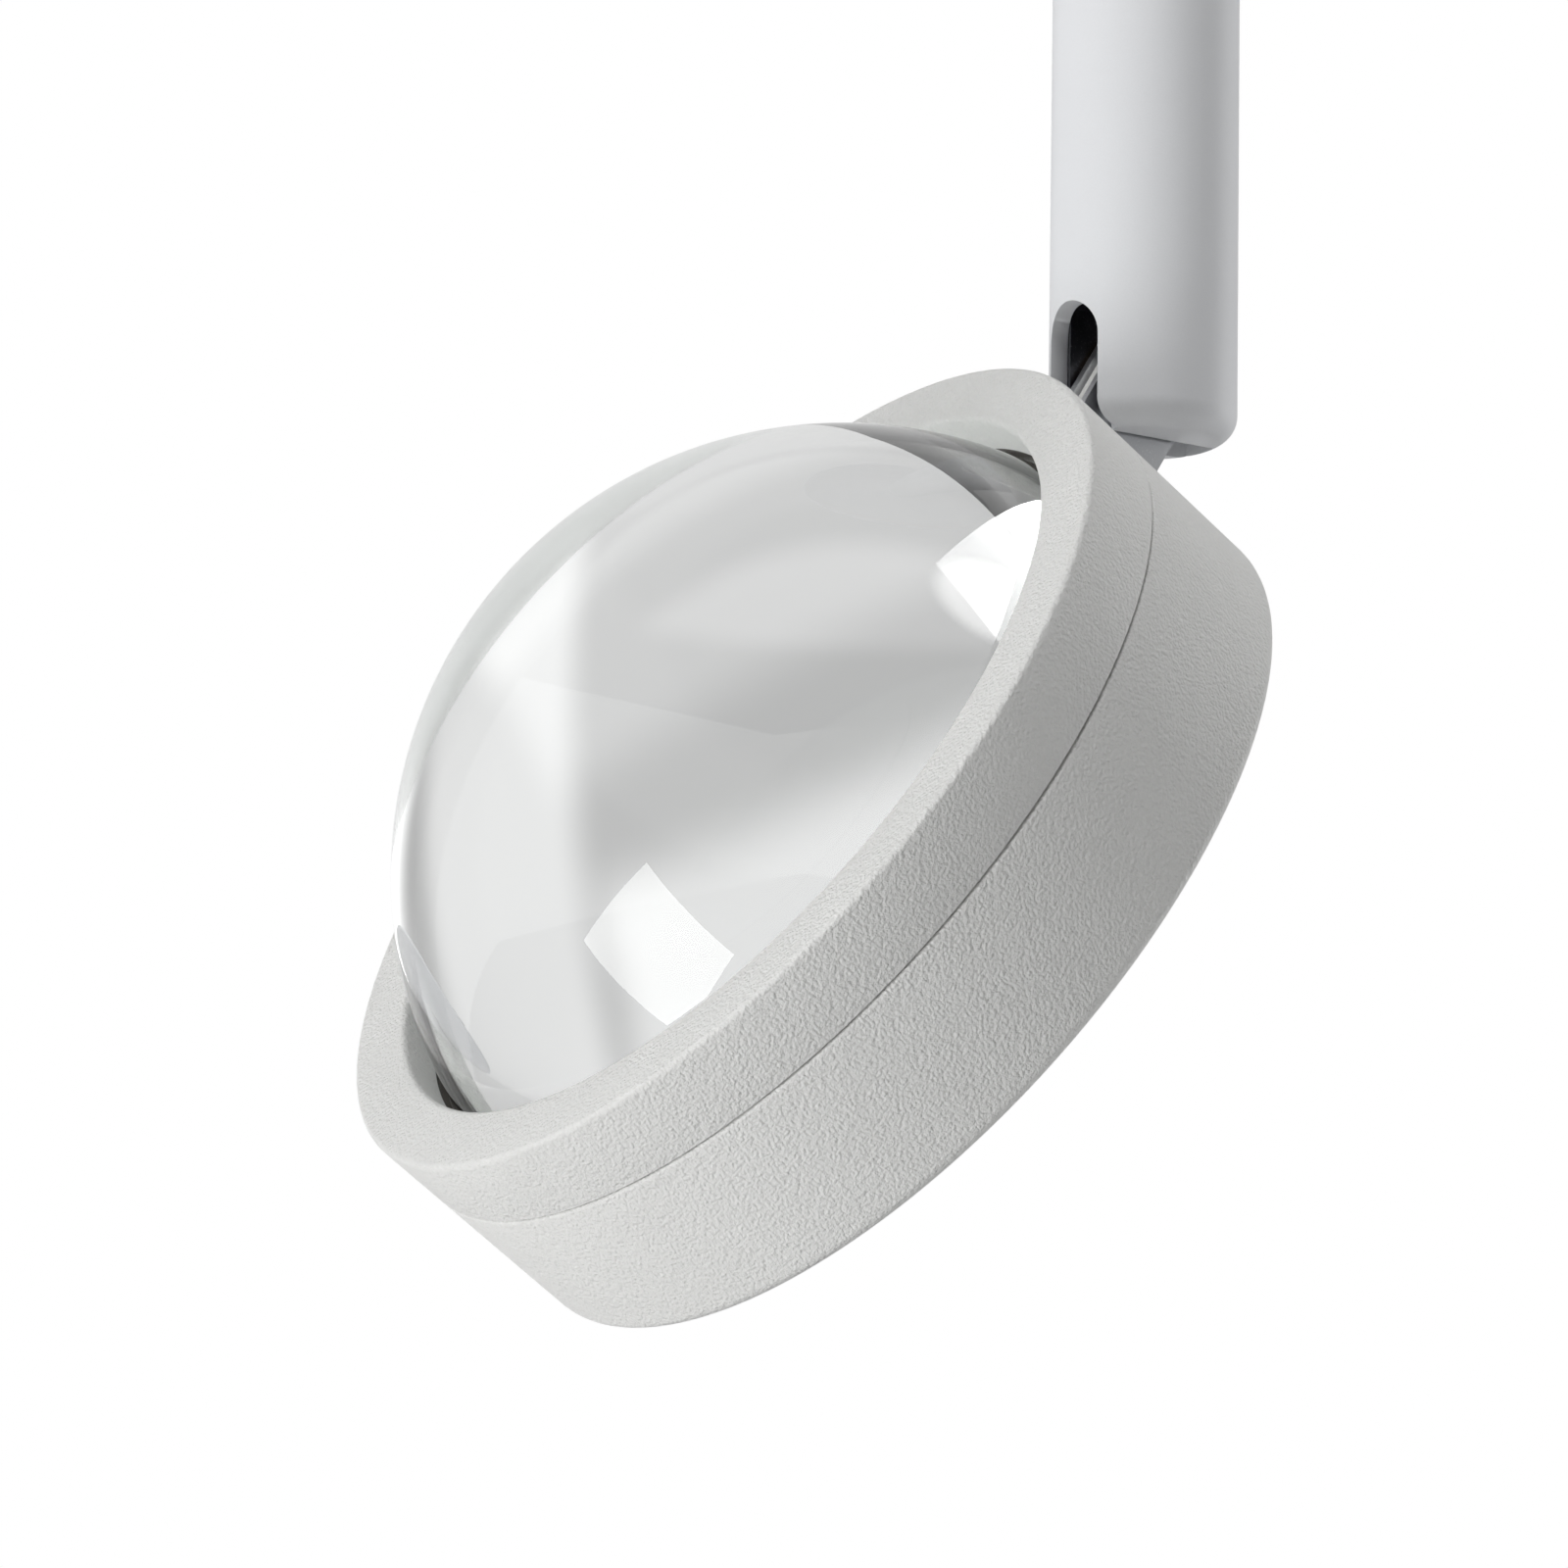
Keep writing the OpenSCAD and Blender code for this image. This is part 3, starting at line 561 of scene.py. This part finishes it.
def look_from(azimuth, elevation):
    """The way towards a place round the lamp; azimuth 0 is in front of the slot."""
    a, e = math.radians(azimuth), math.radians(elevation)
    return Vector((math.sin(a) * math.cos(e), -math.cos(a) * math.cos(e), math.sin(e)))


def make_camera(place):
    """A long lens from below and to the right of the way the lamp faces."""
    data = bpy.data.cameras.new("camera")
    camera = bpy.data.objects.new("camera", data)
    bpy.context.scene.collection.objects.link(camera)
    data.sensor_width = 36
    data.lens = 168
    distance = 0.5714
    back = look_from(55.9, -11.0)
    ring_middle = place @ Vector((0, 0, 0))
    aim = ring_middle + Vector((2.77, 4.72, -1.82)) * MM
    turn = (-back).to_track_quat("-Z", "Y").to_matrix().to_4x4()
    roll = Matrix.Rotation(math.radians(1.0), 4, "Z")
    camera.matrix_world = Matrix.Translation(aim + back * distance) @ turn @ roll
    data.clip_start = 0.01
    data.clip_end = 50
    bpy.context.scene.camera = camera


def soft_light(name, azimuth, elevation, distance, width, height, power, turn=0.0):
    """A studio softbox facing the head."""
    data = bpy.data.lights.new(name, "AREA")
    data.shape = "RECTANGLE"
    data.size = width
    data.size_y = height
    data.energy = power
    lamp = bpy.data.objects.new(name, data)
    bpy.context.scene.collection.objects.link(lamp)
    away = look_from(azimuth, elevation)
    target = middle("front_ring")
    facing = (-away).to_track_quat("-Z", "Y").to_matrix().to_4x4()
    spin = Matrix.Rotation(math.radians(turn), 4, "Z")
    lamp.matrix_world = Matrix.Translation(target + away * distance) @ facing @ spin
    return lamp


def facing_mask(tree, ray, direction, low, high):
    """1 where a ray points along the direction, 0 where it points away, soft between two cosines."""
    along = tree.nodes.new("ShaderNodeVectorMath")
    along.operation = "DOT_PRODUCT"
    link(tree, ray, along.inputs[0])
    along.inputs[1].default_value = direction
    made = tree.nodes.new("ShaderNodeMapRange")
    made.interpolation_type = "SMOOTHERSTEP"
    made.inputs["From Min"].default_value = low
    made.inputs["From Max"].default_value = high
    link(tree, along.outputs["Value"], made.inputs["Value"])
    return made.outputs["Result"]


def make_surroundings():
    """White paper behind the lamp, and a room of big soft panels for the glass to mirror."""
    up, down = (0, 0, 1), (0, 0, -1)
    panels = (
        ("pale_ceiling", 0.32, ((look_from(66.6, 54.5), 0.27, 0.39),
                               (look_from(246.6, -54.5), -0.8, -0.64))),
        ("far_left_wall", 0.31, ((look_from(-177, 0), -0.06, 0.13), (down, -0.83, -0.74))),
        ("left_wall", 0.14, ((look_from(15, 0), -0.08, 0.1), (down, -0.83, -0.74))),
        ("near_left_wall", 0.12, ((look_from(38, 0), -0.05, 0.15), (down, -0.83, -0.74))),
        ("top_panel", 1.9, ((up, 0.68, 0.82), (look_from(60, 0), 0.0, 0.3))),
        ("bright_lamp", 6.0, ((look_from(118, 58), 0.97, 0.992),)),
    )
    world = bpy.data.worlds.new("studio")
    bpy.context.scene.world = world
    world.use_nodes = True
    world.cycles.sampling_method = "NONE"
    tree = world.node_tree
    tree.nodes.clear()
    ray = node(tree, "ShaderNodeTexCoord").outputs["Generated"]
    total = maths(tree, "ADD", 0.49, 0.0)
    for label, strength, masks in panels:
        lit = maths(tree, "ADD", strength, 0.0)
        lit.node.label = label
        for direction, low, high in masks:
            lit = maths(tree, "MULTIPLY", lit, facing_mask(tree, ray, direction, low, high))
        total = maths(tree, "ADD", total, lit)
    mirrored = node(tree, "ShaderNodeBackground", Color=(1, 1, 1, 1))
    link(tree, total, mirrored.inputs["Strength"])
    fill = node(tree, "ShaderNodeBackground", Color=(1, 1, 1, 1))
    seen = node(tree, "ShaderNodeBackground", Color=(1, 1, 1, 1), Strength=1.0)
    rays = tree.nodes.new("ShaderNodeLightPath")
    sheen = maths(tree, "MULTIPLY", rays.outputs["Is Glossy Ray"], 0.36)
    link(tree, maths(tree, "ADD", sheen, 0.03), fill.inputs["Strength"])
    first = maths(tree, "LESS_THAN", rays.outputs["Diffuse Depth"], 0.5)
    sharp = tree.nodes.new("ShaderNodeMixShader")
    link(tree, maths(tree, "MULTIPLY", rays.outputs["Is Singular Ray"], first), sharp.inputs["Fac"])
    link(tree, fill.outputs["Background"], sharp.inputs[1])
    link(tree, mirrored.outputs["Background"], sharp.inputs[2])
    mix = tree.nodes.new("ShaderNodeMixShader")
    output = tree.nodes.new("ShaderNodeOutputWorld")
    link(tree, rays.outputs["Is Camera Ray"], mix.inputs["Fac"])
    link(tree, sharp.outputs["Shader"], mix.inputs[1])
    link(tree, seen.outputs["Background"], mix.inputs[2])
    link(tree, mix.outputs["Shader"], output.inputs["Surface"])


def make_studio():
    """The lamps, the softbox that shows in the glass, and the pale floor far below."""
    bpy.context.scene.view_settings.view_transform = "Standard"
    make_surroundings()
    soft_light("softbox", 4, -25, 0.9, 0.42, 0.5, 3.3, turn=34)
    fills = (
        ("softbox_spill", 0, -20, 1.5),
        ("top_light", 16, 60, 6.3),
        ("front_left_light", 0, 0, 3.6),
        ("paper_glow", 178, 5, 5.9),
        ("far_left_light", -90, -14, 4.2),
        ("right_light", 118, 22, 3.5),
    )
    for name, azimuth, elevation, power in fills:
        lamp = soft_light(name, azimuth, elevation, 1.2, 0.6, 0.6, power)
        lamp.visible_glossy = False
        lamp.visible_transmission = False
    bpy.ops.object.select_all(action="DESELECT")
    bpy.ops.mesh.primitive_plane_add(size=6, location=(0, 0, -0.95))
    floor = bpy.context.object
    floor.name = "floor"
    paper, tree, shader, _ = new_material("pale_floor")
    shader.inputs["Base Color"].default_value = (0.8, 0.8, 0.8, 1)
    shader.inputs["Roughness"].default_value = 0.9
    rays = tree.nodes.new("ShaderNodeLightPath")
    shader.inputs["Emission Color"].default_value = (1, 1, 1, 1)
    link(tree, rays.outputs["Is Camera Ray"], shader.inputs["Emission Strength"])
    floor.data.materials.append(paper)


head = head_place()
make_camera(head)
paint_nodes()
make_lens(head)
make_front_ring(head)
make_rear_housing(head)
make_stem()
make_studio()
